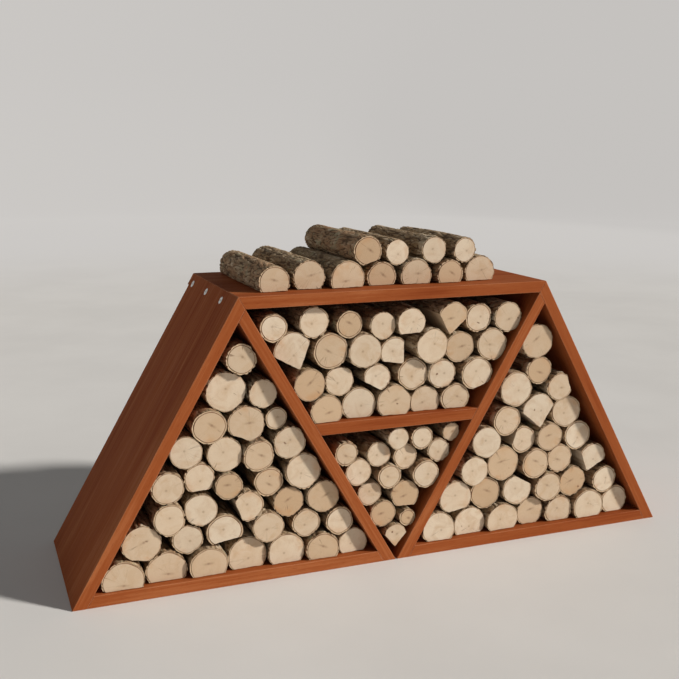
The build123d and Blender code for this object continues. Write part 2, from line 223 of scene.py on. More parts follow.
# %% [markdown]
# ## Screws and dowels
# The flat screw heads are zinc plated: bright, faintly brushed, with a dull bloom in patches.
# The dowels are hidden in the joints, but they are plain fluted beech and get that finish too.
# %% Zinc and beech
def zinc_plate():
    metal = Finish("zinc_plate")
    place = metal.object_place()
    bloom = metal.noise(place, 260, 4, 0.6)
    brushed = metal.noise(metal.object_place(scale=(1, 5, 1)), 900, 2, 0.5)
    colour = metal.ramp(bloom, (0.3, (0.52, 0.52, 0.50)), (0.7, (0.80, 0.80, 0.78)))
    roughness = metal.ramp(bloom, (0.3, 0.42), (0.7, 0.24))
    return metal.finish(colour, roughness, metal.bump(brushed, 0.0001, 0.3), Metallic=1.0)


def plain_beech():
    beech = Finish("plain_beech")
    place = beech.object_place()
    flecks = beech.noise(place, 900, 3, 0.6)
    clouds = beech.noise(place, 60, 2, 0.5)
    colour = beech.ramp(beech.math("MULTIPLY", beech.math("ADD", flecks, clouds), 0.5),
                        (0.35, (0.45, 0.28, 0.15)), (0.65, (0.68, 0.47, 0.28)))
    return beech.finish(colour, 0.6, beech.bump(flecks, 0.0002, 0.3))


zinc, beech = zinc_plate(), plain_beech()
for node in frame["nodes"]:
    if "screws" in node:
        clothe(node, zinc)
    elif "dowels" in node:
        clothe(node, beech)


# %% [markdown]
# ## Reading the logs from the frame
# Each firewood node holds several prisms, one for each log. A log's section is a circle with at
# most two flats. The vertices of one prism are found by walking its edges, the circle is fitted
# to them, and an edge much longer than its neighbours is a flat. Nothing about the pile is then
# written twice: if the frame's pile changes, this one follows it.
# %% From prisms to circles and flats
FLAT_LEAST = 0.35       # an edge longer than this share of the radius is a flat
ON_CIRCLE = 0.0004      # a point this close to a circle lies on it
WIDEST = 0.2            # no log has a larger radius
SAME_END = 0.001        # corners this close along Y belong to one end of a prism


class Log:
    """One log: the centre and radius of its section, its ends along Y, and its flats."""

    def __init__(self, corners):
        self.near = min(c.y for c in corners)
        self.far = max(c.y for c in corners)
        ring = [(c.x, c.z) for c in corners if c.y < self.near + SAME_END]
        self.x, self.z, self.radius = fitted_circle(ring)
        self.flats = self.find_flats(ring)

    def find_flats(self, ring):
        """(angle that the flat faces, its distance from the centre) for each flat."""
        ring.sort(key=lambda p: math.atan2(p[1] - self.z, p[0] - self.x))
        flats = []
        for (ax, az), (bx, bz) in zip(ring, ring[1:] + ring[:1]):
            if math.hypot(bx - ax, bz - az) > FLAT_LEAST * self.radius:
                angle = math.atan2(ax - bx, bz - az) + math.pi
                reach = (ax - self.x) * math.cos(angle) + (az - self.z) * math.sin(angle)
                if reach < 0:
                    angle, reach = angle + math.pi, -reach
                flats.append((angle, reach))
        return flats


def circle_through(points):
    """The circle through three points: (centre x, centre z, radius)."""
    (ax, az), (bx, bz), (cx, cz) = points
    d = 2 * (ax * (bz - cz) + bx * (cz - az) + cx * (az - bz))
    if abs(d) < 1e-12:
        return 0, 0, 1e9
    a2, b2, c2 = ax * ax + az * az, bx * bx + bz * bz, cx * cx + cz * cz
    x = (a2 * (bz - cz) + b2 * (cz - az) + c2 * (az - bz)) / d
    z = (a2 * (cx - bx) + b2 * (ax - cx) + c2 * (bx - ax)) / d
    return x, z, math.hypot(ax - x, az - z)


def fitted_circle(ring):
    """The circle that most of the ring's points lie on."""
    middle = (sum(p[0] for p in ring) / len(ring), sum(p[1] for p in ring) / len(ring))
    ring = sorted(ring, key=lambda p: math.atan2(p[1] - middle[1], p[0] - middle[0]))
    best, most = None, 0
    count = len(ring)
    for start in range(count):
        three = [ring[start], ring[(start + count // 4) % count], ring[(start + count // 2) % count]]
        x, z, r = circle_through(three)
        on_it = sum(abs(math.hypot(p[0] - x, p[1] - z) - r) < ON_CIRCLE for p in ring)
        if r < WIDEST and on_it > most:
            best, most = (x, z, r), on_it
    return best


def logs_of(node):
    """The logs of one CAD node from left to right, each walked along its edges."""
    bm = bmesh.new()
    bm.from_mesh(node.data)
    bmesh.ops.remove_doubles(bm, verts=bm.verts, dist=1e-5)
    walked, logs = set(), []
    for first in bm.verts:
        if first in walked:
            continue
        walked.add(first)
        edge_of_walk, island = [first], []
        while edge_of_walk:
            vertex = edge_of_walk.pop()
            island.append(vertex.co.copy())
            for edge in vertex.link_edges:
                other = edge.other_vert(vertex)
                if other not in walked:
                    walked.add(other)
                    edge_of_walk.append(other)
        logs.append(Log(sorted(island, key=tuple)))
    bm.free()
    return sorted(logs, key=lambda log: log.x)


firewood = {name: logs_of(node) for name, node in frame["nodes"].items() if "_logs_" in name}
print("logs found:", sum(len(logs) for logs in firewood.values()))


# %% [markdown]
# ## Facts that the log finishes read
# A growth ring runs round the heart of its own log, and a crack runs out from it, so the pattern
# has to know where on the log each point lies. Every vertex therefore carries its place on the
# straight log (across, up, along), and the log's own facts (tone, radius, a seed). When the mesh
# is bent out of true afterwards, the pattern bends with it, as real rings do.
# %% The colours of firewood
BARK_DARK = (0.115, 0.070, 0.039)
BARK_MID = (0.390, 0.275, 0.165)
BARK_LIGHT = (0.660, 0.550, 0.400)
BARK_RED = (0.400, 0.215, 0.112)
LICHEN = (0.370, 0.355, 0.225)
BAST = (0.590, 0.440, 0.290)
CAMBIUM = (0.150, 0.060, 0.024)
SAWN_PALE = (0.740, 0.620, 0.475)
SAWN_CREAM = (0.640, 0.500, 0.355)
SAWN_AMBER = (0.560, 0.390, 0.240)
SAP_STAIN = (0.560, 0.285, 0.115)
KNOT = (0.150, 0.062, 0.028)
CRACK = (0.160, 0.075, 0.035)
THIN_BARK = 0.0024      # bark and the crack under it, on the log with the thinnest bark
THICK_BARK = 0.0056
HEART_OFF = 0.16        # how far a log's heart lies from its middle, as a share of the radius
RING_RATE = 2600.0      # turn of the rings' wave for each metre out from the heart
MIDDLE_CHECK = 0.0009   # half the width of the check across the heart
PATTERN_STEP = 37.0     # how far apart the patterns of two logs can lie


def on_log(finish):
    """The place on the straight log and the log's tone, radius and seed, as node outputs."""
    place, facts = finish.attribute("log_place"), finish.attribute("log_facts")
    tone, radius, seed = (finish.split(facts, axis) for axis in range(3))
    far = finish.math("MULTIPLY", seed, PATTERN_STEP)
    apart = finish.vector_math("ADD", place, finish.node("ShaderNodeCombineXYZ", X=far, Y=far, Z=far))
    return place, apart, tone, radius, seed


# %% [markdown]
# ## Bark
# Bark is a cracked skin: grey on its plates, with lichen where it was damp, and darker in its
# furrows, where the colour is painted shade. The furrows are real hollows in the mesh, and how deep
# each one is comes along as an attribute, so painted shade darkens them exactly where they are. Noise
# stretched along the log adds the fine cracks, which painted shade darkens too.
# %% Bark finish
def bark_finish():
    bark = Finish("bark")
    _, apart, tone, _, seed = on_log(bark)
    furrow = bark.attribute("furrow", "Fac")
    lengthwise = bark.node("ShaderNodeMapping", Vector=apart, Scale=(1, 1, 0.28))
    plates = bark.noise(lengthwise, 95, 5, 0.62, 0.4)
    cracks = bark.noise(lengthwise, 330, 3, 0.55, 0.8)
    clouds = bark.noise(apart, 22, 3, 0.55)
    grit = bark.noise(apart, 1500, 3, 0.6)

    colour = bark.ramp(plates, (0.30, BARK_DARK), (0.48, BARK_MID), (0.70, BARK_LIGHT))
    redness = bark.math("MULTIPLY", bark.ramp(seed, (0.45, 0.0), (0.75, 0.75)),
                        bark.ramp(clouds, (0.35, 0.2), (0.65, 1.0)))
    colour = bark.blend(redness, colour, BARK_RED)
    damp = bark.ramp(bark.noise(apart, 48, 4, 0.65), (0.52, 0.0), (0.66, 0.8))
    colour = bark.blend(bark.math("MULTIPLY", damp, bark.ramp(tone, (0.2, 0.25), (0.8, 1.0))),
                        colour, LICHEN)
    colour = bark.blend(bark.ramp(grit, (0.62, 0.0), (0.78, 0.45)), colour, BARK_LIGHT)
    # painted shade in the fine cracks, where the bump sinks
    colour = bark.blend(bark.ramp(cracks, (0.34, 0.85), (0.44, 0.0)), colour, BARK_DARK)
    # painted shade: the deeper the furrow, the darker its bark
    colour = bark.blend(bark.ramp(furrow, (0.25, 0.0), (0.85, 0.9)), colour, BARK_DARK)

    flake = bark.ramp(bark.math("MULTIPLY", furrow, -1.0), (0.3, 0.0), (0.9, 0.75))
    colour = bark.blend(bark.math("MULTIPLY", flake, bark.ramp(plates, (0.35, 0.2), (0.55, 1.0))),
                        colour, BARK_LIGHT)

    coarse = bark.bump(bark.math("ADD", plates, bark.math("MULTIPLY", cracks, 0.8)), 0.0022, 0.9)
    return bark.finish(colour, 0.93, bark.bump(grit, 0.0005, 0.6, coarse), Specular_IOR_Level=0.22)


# %% [markdown]
# ## Sawn ends
# The saw leaves a pale disc. Its colour differs more from log to log than within one log, so the
# log's tone sets it, from almost white to amber. Faint rings circle the heart, a few fine checks
# run out from it, and the saw leaves shallow scores. The cut bark shows as a pale ring with a
# dark skin outside it and a dark crack inside it, where it has come loose from the wood.
# %% Sawn end finish
def sawn_finish():
    sawn = Finish("sawn_end")
    place, apart, tone, radius, seed = on_log(sawn)
    turn = sawn.math("MULTIPLY", seed, 40.0)
    off = sawn.math("MULTIPLY", radius, HEART_OFF)
    heart = sawn.node("ShaderNodeCombineXYZ",
                      X=sawn.math("MULTIPLY", sawn.math("COSINE", turn), off),
                      Y=sawn.math("MULTIPLY", sawn.math("SINE", turn), off))
    level = sawn.vector_math("MULTIPLY", place, (1.0, 1.0, 0.0))
    from_heart = sawn.vector_math("SUBTRACT", level, heart)
    out = sawn.vector_math("LENGTH", from_heart, output="Value")
    share = sawn.math("DIVIDE", out, radius)
    wobble = sawn.noise(apart, 40, 2, 0.5)

    rings = sawn.math("SINE", sawn.math("ADD", sawn.math("MULTIPLY", out, RING_RATE),
                                        sawn.math("MULTIPLY", wobble, 14.0)))
    fine = sawn.noise(apart, 900, 4, 0.65)
    clouds = sawn.noise(apart, 30, 4, 0.6, 0.8)
    colour = sawn.ramp(tone, (0.0, SAWN_PALE), (0.55, SAWN_CREAM), (1.0, SAWN_AMBER), smooth=False)
    colour = sawn.blend(sawn.ramp(clouds, (0.42, 0.0), (0.72, 0.55)), colour, SAWN_AMBER)
    colour = sawn.blend(sawn.ramp(share, (0.0, 0.25), (0.55, 0.0)), colour, SAWN_AMBER)
    sap = sawn.math("MULTIPLY", sawn.ramp(share, (0.35, 0.0), (0.95, 1.0)),
                    sawn.ramp(sawn.noise(apart, 19, 3, 0.6, 0.5), (0.52, 0.0), (0.70, 0.45)))
    colour = sawn.blend(sap, colour, SAP_STAIN)
    colour = sawn.blend(sawn.math("MULTIPLY", sawn.ramp(rings, (0.35, 0.0), (0.95, 1.0)), 0.10),
                        colour, CAMBIUM)
    colour = sawn.blend(sawn.ramp(fine, (0.30, 0.22), (0.46, 0.0)), colour, CAMBIUM)
    colour = sawn.blend(sawn.ramp(fine, (0.60, 0.0), (0.76, 0.35)), colour, SAWN_PALE)

    heading = sawn.vector_math("NORMALIZE", from_heart)
    spread = sawn.vector_math("MULTIPLY", sawn.vector_math("ADD", heading, apart), (2.1, 2.1, 0.0))
    bearing = sawn.noise(spread, 1.0, 2, 0.5, 0.05)
    line = sawn.math("ABSOLUTE", sawn.math("SUBTRACT", bearing, 0.5))
    check = sawn.ramp(line, (0.0, 1.0), (0.006, 0.0), smooth=False)
    some = sawn.ramp(sawn.noise(apart, 34, 1, 0.5), (0.52, 0.0), (0.62, 1.0))
    check = sawn.math("MULTIPLY", sawn.math("MULTIPLY", check, some),
                      sawn.ramp(share, (0.04, 0.0), (0.16, 1.0)))
    colour = sawn.blend(sawn.math("MULTIPLY", check, 0.75), colour, CRACK)

    tilt = sawn.math("MULTIPLY", sawn.math("SUBTRACT", seed, 0.5), 1.4)
    laid = sawn.node("ShaderNodeVectorRotate", 0, [("rotation_type", "Z_AXIS")],
                     Vector=from_heart, Angle=tilt)
    bend = sawn.math("MULTIPLY", sawn.math("SUBTRACT", wobble, 0.5), 0.0035)
    off_line = sawn.math("ABSOLUTE", sawn.math("ADD", sawn.split(laid, 1), bend))
    reach = sawn.math("DIVIDE", sawn.math("ABSOLUTE", sawn.split(laid, 0)), radius)
    middle_check = sawn.math("MULTIPLY", sawn.ramp(off_line, (0.0, 1.0), (MIDDLE_CHECK, 0.0)),
                             sawn.ramp(reach, (0.10, 1.0), (0.38, 0.0)))
    middle_check = sawn.math("MULTIPLY", middle_check, sawn.ramp(tone, (0.30, 0.0), (0.75, 0.8)))
    colour = sawn.blend(sawn.math("MULTIPLY", middle_check, 0.45), colour, CRACK)
    check = sawn.math("MAXIMUM", check, middle_check)

    knot = sawn.ramp(sawn.noise(apart, 62, 1, 0.4), (0.770, 0.0), (0.815, 1.0))
    colour = sawn.blend(sawn.math("MULTIPLY", knot, 0.8), colour, KNOT)
    pith = sawn.ramp(out, (0.0005, 0.45), (0.0018, 0.0))
    colour = sawn.blend(pith, colour, CAMBIUM)

    straight_out = sawn.vector_math("LENGTH", level, output="Value")
    bark = sawn.math("MULTIPLY_ADD", seed, THICK_BARK - THIN_BARK, THIN_BARK)
    inward = sawn.math("DIVIDE", sawn.math("SUBTRACT", radius, straight_out), bark)
    inward = sawn.math("ADD", inward, sawn.math("MULTIPLY", sawn.math("SUBTRACT", wobble, 0.5), 0.5))
    bark_there = sawn.ramp(inward, (0.0, 1.0), (0.93, 1.0), (1.0, 0.0), smooth=False)
    section = sawn.ramp(inward, (0.0, BARK_DARK), (0.16, BARK_MID), (0.30, BAST), (0.64, BAST),
                        (0.74, CAMBIUM), (0.90, CAMBIUM))
    colour = sawn.blend(bark_there, colour, section)

    turned = sawn.node("ShaderNodeVectorRotate", 0, [("rotation_type", "Z_AXIS")],
                       Vector=apart, Angle=turn)
    scores = sawn.noise(sawn.vector_math("MULTIPLY", turned, (620.0, 24.0, 0.0)), 1.0, 2, 0.5)
    height = sawn.math("ADD", sawn.math("MULTIPLY", scores, 0.8), fine)
    height = sawn.math("SUBTRACT", height, sawn.math("MULTIPLY", check, 1.5))
    return sawn.finish(colour, 0.82, sawn.bump(height, 0.0004, 0.45), Specular_IOR_Level=0.25)


# %% [markdown]
# ## Split faces
# An axe follows the fibres, so a split face is a sheaf of long ridges. Noise drawn out along the
# log gives them, in both the colour and the bump, over the ridges that the mesh itself has.
# %% Split face finish
def split_finish():
    split = Finish("split_face")
    _, apart, tone, _, _ = on_log(split)

    def drawn_out(along, scale, detail):
        stretched = split.node("ShaderNodeMapping", Vector=apart, Scale=(1, 1, along))
        return split.noise(stretched, scale, detail, 0.6)

    fibres, sheaves = drawn_out(0.03, 520, 4), drawn_out(0.06, 110, 3)
    colour = split.ramp(tone, (0.0, SAWN_PALE), (0.6, SAWN_CREAM), (1.0, SAWN_AMBER), smooth=False)
    colour = split.blend(split.ramp(sheaves, (0.40, 0.0), (0.72, 0.8)), colour, SAWN_AMBER)
    colour = split.blend(split.ramp(fibres, (0.30, 0.6), (0.46, 0.0)), colour, BAST)
    height = split.math("ADD", sheaves, fibres)
    return split.finish(colour, 0.85, split.bump(height, 0.0012, 0.7), Specular_IOR_Level=0.25)


LOG_FINISHES = [bark_finish(), sawn_finish(), split_finish()]
BARK, SAWN, SPLIT = range(3)
print("log finishes:", [finish.name for finish in LOG_FINISHES])


# %% [markdown]
# ## A log's blank
# A log could be a scaled cylinder, but then it would have no split faces and no bark section. So
# the blank starts as one disc, is cut straight where it was split, and is then extruded to length.
# Cuts run round it to carry the furrows, closest together near the ends, which are what shows.
# %% Disc, flats, length and rim
END_CLOSENESS = 0.8     # how much closer the cuts lie at the ends than in the middle
CRACK_WALL = 0.22       # share of the bark's thickness that the wall of the crack under it takes
LONG_CHORD = 1.6        # a chord this many steps long is cut into steps too


def cut_disc(bm, log, around):
    """The log's outline as one face that looks to the front, with its flats cut."""
    bmesh.ops.create_circle(bm, cap_ends=True, segments=around, radius=log.radius)
    bmesh.ops.rotate(bm, verts=bm.verts, matrix=Matrix.Rotation(math.radians(90), 3, "X"))
    for angle, reach in log.flats:
        outward = Vector((math.cos(angle), 0, math.sin(angle)))
        everything = bm.verts[:] + bm.edges[:] + bm.faces[:]
        bmesh.ops.bisect_plane(bm, geom=everything, dist=1e-6, plane_co=outward * reach,
                               plane_no=outward, clear_outer=True)
    step = 2 * math.pi * log.radius / around
    for chord in [edge for edge in bm.edges if edge.calc_length() > LONG_CHORD * step]:
        bmesh.ops.subdivide_edges(bm, edges=[chord], cuts=int(chord.calc_length() / step))


def blank(log, around, along, bark):
    """A straight log about its own centre line, from y = 0, with its materials set.

    Each end gets two rings: the bark's section, then the narrow wall of the crack between bark
    and wood. They are drawn in towards the centre, because an even inset folds at a flat's ends.
    """
    bm = bmesh.new()
    cut_disc(bm, log, around)
    length = log.far - log.near
    grown = bmesh.ops.extrude_face_region(bm, geom=bm.faces[:])["geom"]
    back = [item for item in grown if isinstance(item, bmesh.types.BMVert)]
    bmesh.ops.translate(bm, verts=back, vec=(0, length, 0))
    lengthwise = [edge for edge in bm.edges if edge.calc_length() > 0.9 * length]
    bmesh.ops.subdivide_edges(bm, edges=lengthwise, cuts=along - 1)
    for vertex in bm.verts:
        share = vertex.co.y / length
        share -= END_CLOSENESS * math.sin(2 * math.pi * share) / (2 * math.pi)
        vertex.co.y = share * length

    ends = [face for face in bm.faces if len(face.verts) > 4]
    round_enough = log.radius * math.cos(math.pi / around) - 1e-5
    for face in bm.faces:
        middle = face.calc_center_median()
        face.material_index = BARK if math.hypot(middle.x, middle.z) > round_enough else SPLIT
        face.smooth = True
    for end in ends:
        end.material_index = SAWN
        end.smooth = False
        for width in (bark * (1 - CRACK_WALL), bark * CRACK_WALL):
            ring = bmesh.ops.inset_region(bm, faces=[end], thickness=0)
            for face in ring["faces"]:
                face.material_index = SAWN
                face.smooth = False
            for vertex in end.verts:
                shrink = 1 - width / math.hypot(vertex.co.x, vertex.co.z)
                vertex.co = (vertex.co.x * shrink, vertex.co.y, vertex.co.z * shrink)
    bmesh.ops.recalc_face_normals(bm, faces=bm.faces)
    return bm


# %% [markdown]
# ## Room to grow
# A pile of true circles has large three-cornered holes, but real logs are lobed and settle until
# their lobes lie in the hollows between their neighbours. Each outline may therefore grow where
# there is room. The room is the distance to the nearest neighbour or board, which a tree of the
# boards' faces answers quickly, and each log takes a little less than half of it.
# %% Measure the room round a log
BAY_GROWTH = 0.070      # most that an outline may grow, as a share of the log's radius
TOP_GROWTH = 0.015      # the same on the top board, where the pile's height is the rack's height
ROOM_TAKEN = 0.42       # share of the free distance that one log takes
FLAT_GROWTH = 0.02      # a split face stays nearly flat
DIRECTIONS = 48         # in which the room is measured
EASING = [(k, (4 - abs(k)) / 16) for k in range(-3, 4)]     # shares of the directions on each side


def board_tree():
    """All the boards' faces in one tree, for finding the nearest point on them."""
    corners, faces = [], []
    for board in LEANS:
        mesh = frame["nodes"][board].data
        first = len(corners)
        corners += [vertex.co.copy() for vertex in mesh.vertices]
        faces += [[first + index for index in face.vertices] for face in mesh.polygons]
    return BVHTree.FromPolygons(corners, faces)


def edge_at(log, angle):
    """The distance from the log's centre to its straight-cut outline, and whether that is a flat."""
    edge, is_flat = log.radius, False
    for turn, reach in log.flats:
        facing = math.cos(angle - turn)
        if facing > 0 and reach / facing < edge:
            edge, is_flat = reach / facing, True
    return edge, is_flat


def growth_of(log, others, boards, most):
    """How far the outline may grow in each direction, in metres."""
    middle, growth = (log.near + log.far) / 2, []
    for step in range(DIRECTIONS):
        angle = 2 * math.pi * step / DIRECTIONS
        edge, is_flat = edge_at(log, angle)
        place = Vector((log.x + edge * math.cos(angle), middle, log.z + edge * math.sin(angle)))
        room = boards.find_nearest(place)[3]
        for other in others:
            room = min(room, math.hypot(place.x - other.x, place.z - other.z) - other.radius)
        limit = FLAT_GROWTH if is_flat else most
        growth.append(max(0.0, min(ROOM_TAKEN * room, limit * log.radius)))
    return [sum(growth[(step + k) % DIRECTIONS] * weight for k, weight in EASING)
            for step in range(DIRECTIONS)]


def read_round(values, angle):
    """A value from a list that goes once round, eased between its two nearest entries."""
    place = (angle / (2 * math.pi)) % 1 * len(values)
    low = int(place)
    part = place - low
    return values[low % len(values)] * (1 - part) + values[(low + 1) % len(values)] * part


boards = board_tree()


# %% [markdown]
# ## From blank to log
# Real logs are a little oval, lobed and crooked, sawn slightly askew, and chipped at the rim.
# Apart from the growth into free room, every change to the outline goes inwards from the blank,
# so a log doesn't cut into its neighbour. Random numbers come from one seeded source for each log.
# %% Shape one log
OVAL = 0.035            # most that a log is narrower one way than the other, as a share
LOBES = 0.045           # how much its outline wanders, as a share of its radius
ASKEW = 0.045           # slope of a sawn end
CROOKED = 0.0016        # bow at mid length
FURROW = 0.0022         # deepest furrow in the bark
BARK_WAVES = 0.0008     # slow rise and fall of the bark
SHAKES = 0.0016         # relief of a split face
CHIP = 0.0030           # deepest chip out of the bark's sawn edge
CRACK_DEPTH = 0.0024    # deepest crack between bark and wood at a sawn end
BARK_HEIGHTS = (0.35, 1.5)      # furrows of the smoothest and of the roughest log, as shares
FURROW_STRETCH = 0.22   # how slowly furrows change along the log, against round it
FURROW_WIDTH = 0.22     # of the noise's range, on each side of a furrow's middle
CHIP_LEVEL = 0.12       # the higher, the fewer chips


NOISE_STEPS = (Vector((0, 0, 0)), Vector((31.4, 0, 0)), Vector((0, 47.2, 0)))     # any will do


def three_noises(place):
    """A vector of noise. noise.noise_vector gives other values on each run, so it isn't used."""
    return Vector([noise.noise(place + step) for step in NOISE_STEPS])


def furrow_at(place, seed, coarse):
    """How deep the bark is furrowed at a place, from 0 to 1."""
    drift = Vector((seed * 90, seed * 40, seed * 70))
    along = place.y * coarse * FURROW_STRETCH
    drawn = Vector((place.x * coarse, along, place.z * coarse)) + drift
    line = abs(noise.noise(drawn + 0.6 * three_noises(drawn * 0.7)))
    return max(0.0, 1 - line / FURROW_WIDTH)


def shape(bm, log, dice, coarse, growth, tone, seed, bark):
    """Turn a blank into its log, in its place, and give each vertex the facts for the finishes."""
    length = log.far - log.near
    thin_way, oval = dice.uniform(0, math.pi), dice.uniform(0, OVAL)
    slopes = [dice.uniform(-ASKEW, ASKEW) for _ in range(4)]
    bow = Vector((dice.uniform(-CROOKED, CROOKED), 0, dice.uniform(-CROOKED, CROOKED)))
    roughness = dice.uniform(*BARK_HEIGHTS)
    place_of = bm.verts.layers.float_vector.new("log_place")
    facts_of = bm.verts.layers.float_vector.new("log_facts")
    furrow_of = bm.verts.layers.float.new("furrow")

    for vertex in bm.verts:
        place = vertex.co.copy()
        vertex[place_of] = (place.x, place.z, place.y)
        vertex[facts_of] = (tone, log.radius, seed)
        out = math.hypot(place.x, place.z)
        heading = Vector((place.x, 0, place.z)) / max(out, 1e-6)
        from_end = min(place.y, length - place.y)
        at_edge = any(face.material_index != SAWN for face in vertex.link_faces)
        on_bark = at_edge and out > log.radius - 1e-4
        inwards = 1 if place.y < length / 2 else -1     # along Y, from the nearer end
        angle = math.atan2(place.z, place.x)

        wander = noise.noise(Vector((heading.x * 1.2, place.y * 3.0, heading.z * 1.2 + seed * 50)))
        edge, is_flat = edge_at(log, angle)
        size = 1 + read_round(growth, angle) / edge
        size -= oval * math.sin(angle - thin_way) ** 2 + LOBES * max(0.0, 0.2 + wander)
        inward = 0.0
        if on_bark:
            furrow = furrow_at(place, seed, coarse)
            vertex[furrow_of] = furrow
            inward = FURROW * roughness * furrow
            inward += BARK_WAVES * (0.5 + noise.noise(place * 55 + Vector((seed * 30, 0, 0))))
        elif at_edge:
            ridge = noise.noise(Vector((place.x * 260, place.y * 9, place.z * 260 + seed * 60)))
            inward = SHAKES * abs(ridge)
        if at_edge and from_end < 1e-6:
            chip = noise.noise(heading * 7 + Vector((0, seed * 80 + place.y * 9, 0))) - CHIP_LEVEL
            chip = CHIP * max(0.0, chip) if on_bark else 0.0
            inward += 0.5 * chip
            place.y += chip * inwards
        elif not at_edge and not is_flat and edge - out < 0.9 * bark:
            open_here = 0.25 + noise.noise(heading * 2.2 + Vector((seed * 33, place.y * 5, 0)))
            place.y += CRACK_DEPTH * max(0.1, open_here) * inwards
        share = place.y / length
        askew = (slopes[0] * place.x + slopes[1] * place.z) * (1 - share)
        askew += (slopes[2] * place.x + slopes[3] * place.z) * share
        moved = heading * (out * size - inward) + bow * math.sin(math.pi * share)
        vertex.co = Vector((moved.x, place.y + askew, moved.z))
    bmesh.ops.translate(bm, verts=bm.verts, vec=(log.x, log.near, log.z))
    for edge in bm.edges:
        if len({face.material_index for face in edge.link_faces}) > 1:
            edge.smooth = False


# %% [markdown]
# ## Loose bark
# Dry bark lifts off in patches, above all near a sawn end. A patch is a set of the log's own
# bark faces, picked by noise, copied, raised a little more towards its middle, and given a
# thickness. Because it starts from the bark itself, it follows the log's curve without fitting.
# %% Lift some flakes
FLAKE_LIFT = 0.0016     # how far the middle of a flake stands off
FLAKE_THICK = 0.0009
FLAKY = 0.45            # share of the logs that have flakes
FLAKE_LEVEL = 0.26      # the higher, the smaller and fewer the flakes
FLAKE_SCALE = Vector((34, 13, 34))      # noise for each metre; flakes are longer than wide
FLAKE_START = 0.001     # from the sawn end to the first flake


def flake_strength(point, seed):
    """Above 0 where a flake lies; how far above says how near its middle the point is."""
    place = point * FLAKE_SCALE + Vector((seed * 70, 0, seed * 20))
    return noise.noise(place) - FLAKE_LEVEL


def lift_flakes(bm, log, dice):
    """Copy patches of bark, raise them and make them solid. Run on a log that is in its place."""
    if dice.random() > FLAKY:
        return
    seed, centre = dice.random(), Vector((log.x, 0, log.z))
    picked = []
    for face in bm.faces:
        if face.material_index != BARK:
            continue
        middle = face.calc_center_median() - centre
        from_end = min(middle.y - log.near, log.far - middle.y)
        upward = middle.z > -0.2 * log.radius
        if upward and from_end > FLAKE_START and flake_strength(middle, seed) > 0:
            picked.append(face)
    copies = bmesh.ops.duplicate(bm, geom=picked)["geom"]
    faces = [item for item in copies if isinstance(item, bmesh.types.BMFace)]
    verts = [item for item in copies if isinstance(item, bmesh.types.BMVert)]
    furrow_of = bm.verts.layers.float["furrow"]
    for vertex in verts:
        out = vertex.co - centre
        out.y = 0
        lift = FLAKE_LIFT * min(1.0, max(0.0, flake_strength(vertex.co - centre, seed)) * 4 + 0.35)
        vertex.co += out.normalized() * lift
        vertex[furrow_of] = -1
    bmesh.ops.smooth_vert(bm, verts=verts, factor=0.5, use_axis_x=True, use_axis_y=True,
                          use_axis_z=True)
    bmesh.ops.solidify(bm, geom=faces, thickness=FLAKE_THICK)


# %% [markdown]
# ## The five loads
# Logs that the frame keeps in one node become one piece, which rides on the body of that load.
# The pile on top is seen from the side, so its bark gets a closer mesh than the logs in the bays.
# %% Make every tier
CLOSE_MESH = {"around": 112, "along": 84, "coarse": 120}
BAY_MESH = {"around": 64, "along": 30, "coarse": 90}
TONE_BIAS = 1.3         # above 1 for more pale logs than dark ones
triangles = 0
for node, logs in firewood.items():
    bay = node.split("_")[0]
    mesh_plan = CLOSE_MESH if bay == "top" else BAY_MESH
    pile = [log for name, some in firewood.items() if name.startswith(bay) for log in some]
    tier = bmesh.new()
    for number, log in enumerate(logs):
        dice = random.Random(f"{node} {number}")
        tone, seed = dice.random() ** TONE_BIAS, dice.random()
        bark = THIN_BARK + seed * (THICK_BARK - THIN_BARK)
        one = blank(log, mesh_plan["around"], mesh_plan["along"], bark)
        growth = growth_of(log, [other for other in pile if other is not log], boards,
                           TOP_GROWTH if bay == "top" else BAY_GROWTH)
        shape(one, log, dice, mesh_plan["coarse"], growth, tone, seed, bark)
        lift_flakes(one, log, dice)
        passing = bpy.data.meshes.new("passing")
        one.to_mesh(passing)
        one.free()
        tier.from_mesh(passing)
        bpy.data.meshes.remove(passing)
    name = node.replace("logs", "firewood")
    mesh = bpy.data.meshes.new(name)
    tier.to_mesh(mesh)
    tier.free()
    for finish in LOG_FINISHES:
        mesh.materials.append(finish)
    piece = bpy.data.objects.new(name, mesh)
    bpy.context.scene.collection.objects.link(piece)
    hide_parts(node)
    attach(piece, body_of[node])
    count = sum(len(face.vertices) - 2 for face in mesh.polygons)
    triangles += count
    print(name, len(logs), "logs", count, "triangles")
print("triangles in all the logs:", triangles)


# %% [markdown]
# ## Floor
# A studio floor curves up into a low wall all round, so no horizon shows from any side. Far out it
# glows evenly, like a lit paper backdrop, so that it takes no shading from the sun. Its profile is
# drawn once and spun about the middle.
# %% Floor
COVE_RADIUS = 13.0
COVE_BEND = 2.0
COVE_HEIGHT = 3.6
FLOOR_LOW = (0.72, 0.715, 0.705)
FLOOR_HIGH = (0.76, 0.755, 0.745)
UNLIT = (0.04, 0.04, 0.04)      # what is left of the floor's own colour where it glows
GLOW = (0.60, 0.58, 0.56)
GLOW_STARTS, GLOW_FULL = 0.28, 0.58     # shares of the cove's radius


